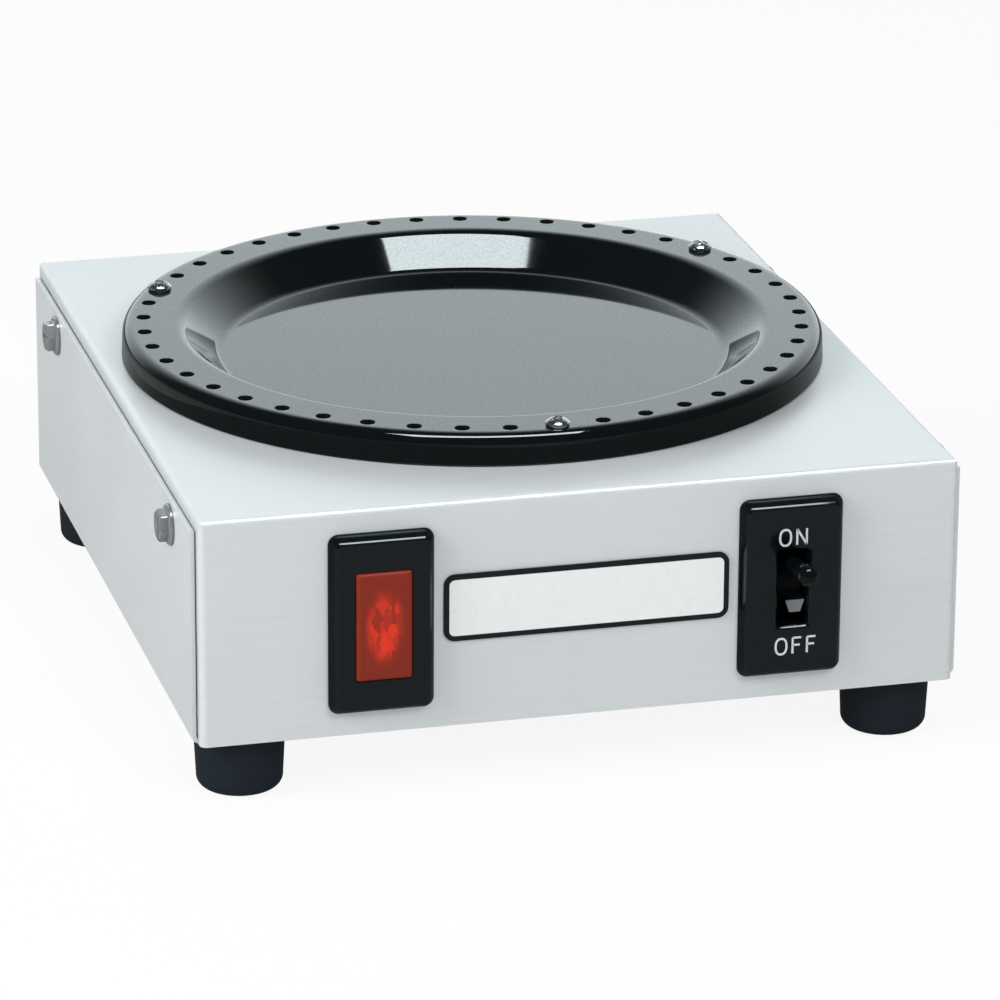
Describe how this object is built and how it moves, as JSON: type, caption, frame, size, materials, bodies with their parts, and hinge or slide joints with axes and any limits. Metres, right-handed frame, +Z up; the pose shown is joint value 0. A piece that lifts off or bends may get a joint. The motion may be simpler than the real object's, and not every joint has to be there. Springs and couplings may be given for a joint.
{
  "type": "coffee warmer plate",
  "caption": "Countertop coffee warmer: perforated black enamelled dish on a folded steel box with rubber feet, toggle switch and red pilot lamp in front.",
  "frame": {"origin": "bottom centre of the whole part's box, on the plane that the feet stand on", "axes": "+Z up, front panel towards -Y, +X to the right seen from the front"},
  "size_m": [0.1774, 0.2012, 0.0753],
  "materials": {
    "housing_steel": "fine satin stainless sheet",
    "bright_steel": "bright plated steel",
    "zinc_steel": "zinc plated steel",
    "foot_rubber": "matt moulded rubber",
    "plate_enamel": "glossy black vitreous enamel on steel",
    "mica": "pressed mica",
    "fibre": "ceramic fibre felt",
    "ceramic_bush": "unglazed steatite",
    "brass_tab": "bright brass",
    "copper_rocker": "copper alloy",
    "bezel_plastic": "satin black moulding",
    "lever_plastic": "glossy black moulding",
    "case_plastic": "matt black moulding",
    "lens_red": "clear red moulding",
    "reflector_white": "white moulding",
    "lamp_glass": "clear glass",
    "resistor_tan": "lacquered",
    "blank_face": "white enamelled sheet with a dark border, left blank",
    "gland_plastic": "black nylon",
    "block_plastic": "cream moulding",
    "ground_green": "green plated steel",
    "sleeve_vinyl": "red vinyl",
    "lead_black": "silicone insulation",
    "lead_red": "silicone insulation",
    "lead_white": "silicone insulation",
    "lead_green": "silicone insulation"
  },
  "bodies": {
    "housing": {"top_cover": "housing_steel", "base_pan": "housing_steel", "side_screws": "bright_steel", "plate_screws": "bright_steel", "foot_screws": "bright_steel", "lever_pin": "bright_steel", "side_nuts": "zinc_steel", "foot_nuts": "zinc_steel", "foot_washers": "zinc_steel", "plate_nuts": "zinc_steel", "plate_spacers": "zinc_steel", "clamp_stud": "zinc_steel", "clamp_washer": "zinc_steel", "clamp_nut": "zinc_steel", "pressure_plate": "zinc_steel", "block_screws": "zinc_steel", "terminal_screws": "zinc_steel", "ground_lug": "zinc_steel", "rubber_feet": "foot_rubber", "warmer_plate": "plate_enamel", "heater_element": "mica", "insulation_pad": "fibre", "heater_bushes": "ceramic_bush", "heater_tabs": "brass_tab", "common_terminal": "brass_tab", "load_terminal": "brass_tab", "lamp_terminals": "brass_tab", "terminal_strips": "brass_tab", "switch_bezel": "bezel_plastic", "lamp_bezel": "bezel_plastic", "switch_case": "case_plastic", "lamp_case": "case_plastic", "lamp_lens": "lens_red", "lamp_reflector": "reflector_white", "neon_lamp": "lamp_glass", "lamp_resistor": "resistor_tan", "blank_plate": "blank_face", "cord_gland": "gland_plastic", "terminal_block": "block_plastic", "ground_screw": "ground_green", "tab_sleeves": "sleeve_vinyl", "line_lead": "lead_black", "load_lead": "lead_red", "lamp_load_lead": "lead_red", "neutral_lead": "lead_white", "lamp_neutral_lead": "lead_white", "ground_lead": "lead_green"},
    "toggle": {"toggle_lever": "lever_plastic", "contact_plunger": "brass_tab", "plunger_spring": "zinc_steel"},
    "rocker": {"contact_rocker": "copper_rocker"}
  },
  "joints": [
    {"name": "toggle_hinge", "type": "hinge", "parent": "housing", "child": "toggle", "pos_m": [0.046, -0.07843, 0.04], "axis": [1, 0, 0], "range_deg": [0, 40]},
    {"name": "rocker_hinge", "type": "hinge", "parent": "housing", "child": "rocker", "pos_m": [0.046, -0.06423, 0.04], "axis": [1, 0, 0], "range_deg": [-12, 0]}
  ],
  "couplings": [
    {"joint": "rocker_hinge", "follows": "toggle_hinge", "ratio": -0.3}
  ]
}
